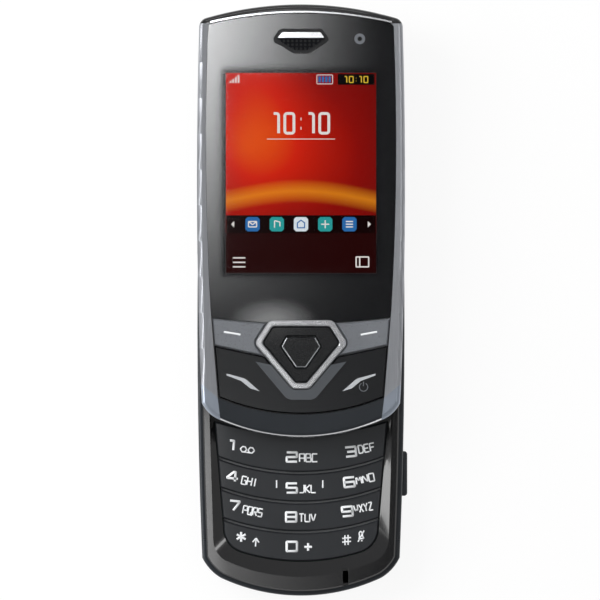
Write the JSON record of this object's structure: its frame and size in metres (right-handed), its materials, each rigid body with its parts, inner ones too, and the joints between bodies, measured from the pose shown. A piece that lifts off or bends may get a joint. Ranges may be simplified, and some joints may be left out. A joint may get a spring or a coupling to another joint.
{
  "type": "slider mobile phone",
  "caption": "Slider mobile phone shown open, with a large display, chrome navigation ring and a curved keypad.",
  "frame": {"origin": "on the battery cover's back face, under the middle of the open phone", "axes": "+Z out of the display, +Y towards the earpiece end along the slide, +X to the right seen from the front"},
  "size_m": [0.0472, 0.1322, 0.0154],
  "materials": {
    "dark_gloss": "black high gloss moulding",
    "dark_satin": "dark grey satin moulding",
    "key_satin": "graphite satin key tops",
    "slate": "dark slate lacquer",
    "blue_grey": "silver blue-grey lacquer",
    "rail_metal": "fine brushed aluminium",
    "chrome": "bright plating",
    "window_glass": "clear hard-coated window",
    "mask_black": "black printed film",
    "screen": "display glass, lit",
    "steel": "stamped steel",
    "board": "green solder resist",
    "silicone": "grey silicone",
    "film": "clear film with steel domes",
    "battery_wrap": "dark wrap",
    "amber_film": "amber polyimide",
    "lens": "dark lens glass",
    "mesh_metal": "dark fine mesh"
  },
  "bodies": {
    "base": {"base_rear_housing": "slate", "base_front_housing": "dark_gloss", "bottom_cap": "slate", "battery": "battery_wrap", "battery_contacts": "battery_wrap", "keypad_mat": "silicone", "key_dome_sheet": "film", "main_board": "board", "shield_cans": "steel", "sim_holder": "steel", "vibration_motor": "steel", "loudspeaker": "dark_satin", "camera_ring": "chrome", "camera_window": "lens", "camera_module": "dark_satin", "microphone": "steel", "data_socket": "steel", "side_switches": "steel", "base_screws": "steel", "fixed_slide_plate": "steel", "fixed_plate_screws": "steel", "slide_flex": "amber_film", "slide_springs": "steel"},
    "slider": {"slider_rear_housing": "dark_satin", "slider_front_frame": "dark_gloss", "side_rail_right": "rail_metal", "side_rail_left": "rail_metal", "chin_strip": "slate", "chin_line": "chrome", "chin_corner_right": "blue_grey", "chin_corner_left": "blue_grey", "nav_ring": "chrome", "top_trim": "chrome", "display_window": "window_glass", "window_mask": "mask_black", "display_module": "steel", "display_screen": "screen", "earpiece_blade": "chrome", "earpiece_mesh": "mesh_metal", "receiver": "dark_satin", "front_camera": "lens", "function_pad": "silicone", "function_board": "board", "function_dome_sheet": "film", "slider_screws": "steel", "moving_slide_plate": "steel", "moving_plate_screws": "steel"},
    "battery_cover": {"battery_cover": "slate"},
    "key_row_1": {"key_row_1": "key_satin"},
    "key_row_2": {"key_row_2": "key_satin"},
    "key_row_3": {"key_row_3": "key_satin"},
    "key_row_4": {"key_row_4": "key_satin"},
    "camera_key": {"camera_key": "slate"},
    "volume_key": {"volume_key": "slate"},
    "soft_key_right": {"soft_key_right": "key_satin"},
    "soft_key_left": {"soft_key_left": "key_satin"},
    "centre_key": {"centre_key": "key_satin"},
    "call_end_plate": {"call_end_plate": "key_satin"},
    "nav_pivot": {"nav_pivot": "steel"},
    "nav_rocker": {"nav_rocker": "dark_gloss"}
  },
  "joints": [
    {"name": "slide", "type": "slide", "parent": "base", "child": "slider", "axis": [0, 1, 0], "range_m": [-0.03125, 0], "deforming": ["slide_springs", "slide_flex"]},
    {"name": "cover_slide", "type": "slide", "parent": "base", "child": "battery_cover", "axis": [0, -1, 0], "range_m": [0, 0.004]},
    {"name": "key_row_1_press", "type": "slide", "parent": "base", "child": "key_row_1", "axis": [0, 0, -1], "range_m": [0, 0.00025], "stiffness_N_per_m": 1200, "springref_m": -0.0001},
    {"name": "key_row_2_press", "type": "slide", "parent": "base", "child": "key_row_2", "axis": [0, 0, -1], "range_m": [0, 0.00025], "stiffness_N_per_m": 1200, "springref_m": -0.0001},
    {"name": "key_row_3_press", "type": "slide", "parent": "base", "child": "key_row_3", "axis": [0, 0, -1], "range_m": [0, 0.00025], "stiffness_N_per_m": 1200, "springref_m": -0.0001},
    {"name": "key_row_4_press", "type": "slide", "parent": "base", "child": "key_row_4", "axis": [0, 0, -1], "range_m": [0, 0.00025], "stiffness_N_per_m": 1200, "springref_m": -0.0001},
    {"name": "camera_key_press", "type": "slide", "parent": "base", "child": "camera_key", "axis": [-1, 0, 0], "range_m": [0, 0.0003], "stiffness_N_per_m": 1200, "springref_m": -0.0001},
    {"name": "volume_rock", "type": "hinge", "parent": "base", "child": "volume_key", "pos_m": [-0.022, 0.0175, 0.004], "axis": [0, 0, 1], "range_deg": [-1.2, 1.2], "stiffness_Nm_per_rad": 0.05},
    {"name": "soft_key_right_press", "type": "slide", "parent": "slider", "child": "soft_key_right", "axis": [0, 0, -1], "range_m": [0, 0.00025], "stiffness_N_per_m": 1200, "springref_m": -0.0001},
    {"name": "soft_key_left_press", "type": "slide", "parent": "slider", "child": "soft_key_left", "axis": [0, 0, -1], "range_m": [0, 0.00025], "stiffness_N_per_m": 1200, "springref_m": -0.0001},
    {"name": "centre_key_press", "type": "slide", "parent": "slider", "child": "centre_key", "axis": [0, 0, -1], "range_m": [0, 0.00025], "stiffness_N_per_m": 1200, "springref_m": -0.0001},
    {"name": "call_end_rock", "type": "hinge", "parent": "slider", "child": "call_end_plate", "pos_m": [0, -0.017, 0.014], "axis": [0, 1, 0], "range_deg": [-0.6, 0.6], "stiffness_Nm_per_rad": 0.05},
    {"name": "nav_tilt_up_down", "type": "hinge", "parent": "slider", "child": "nav_pivot", "pos_m": [0, -0.01135, 0.0139], "axis": [1, 0, 0], "range_deg": [-1.2, 1.2], "stiffness_Nm_per_rad": 0.05},
    {"name": "nav_tilt_sideways", "type": "hinge", "parent": "nav_pivot", "child": "nav_rocker", "pos_m": [0, -0.01135, 0.0145], "axis": [0, 1, 0], "range_deg": [-1.2, 1.2], "stiffness_Nm_per_rad": 0.05}
  ]
}
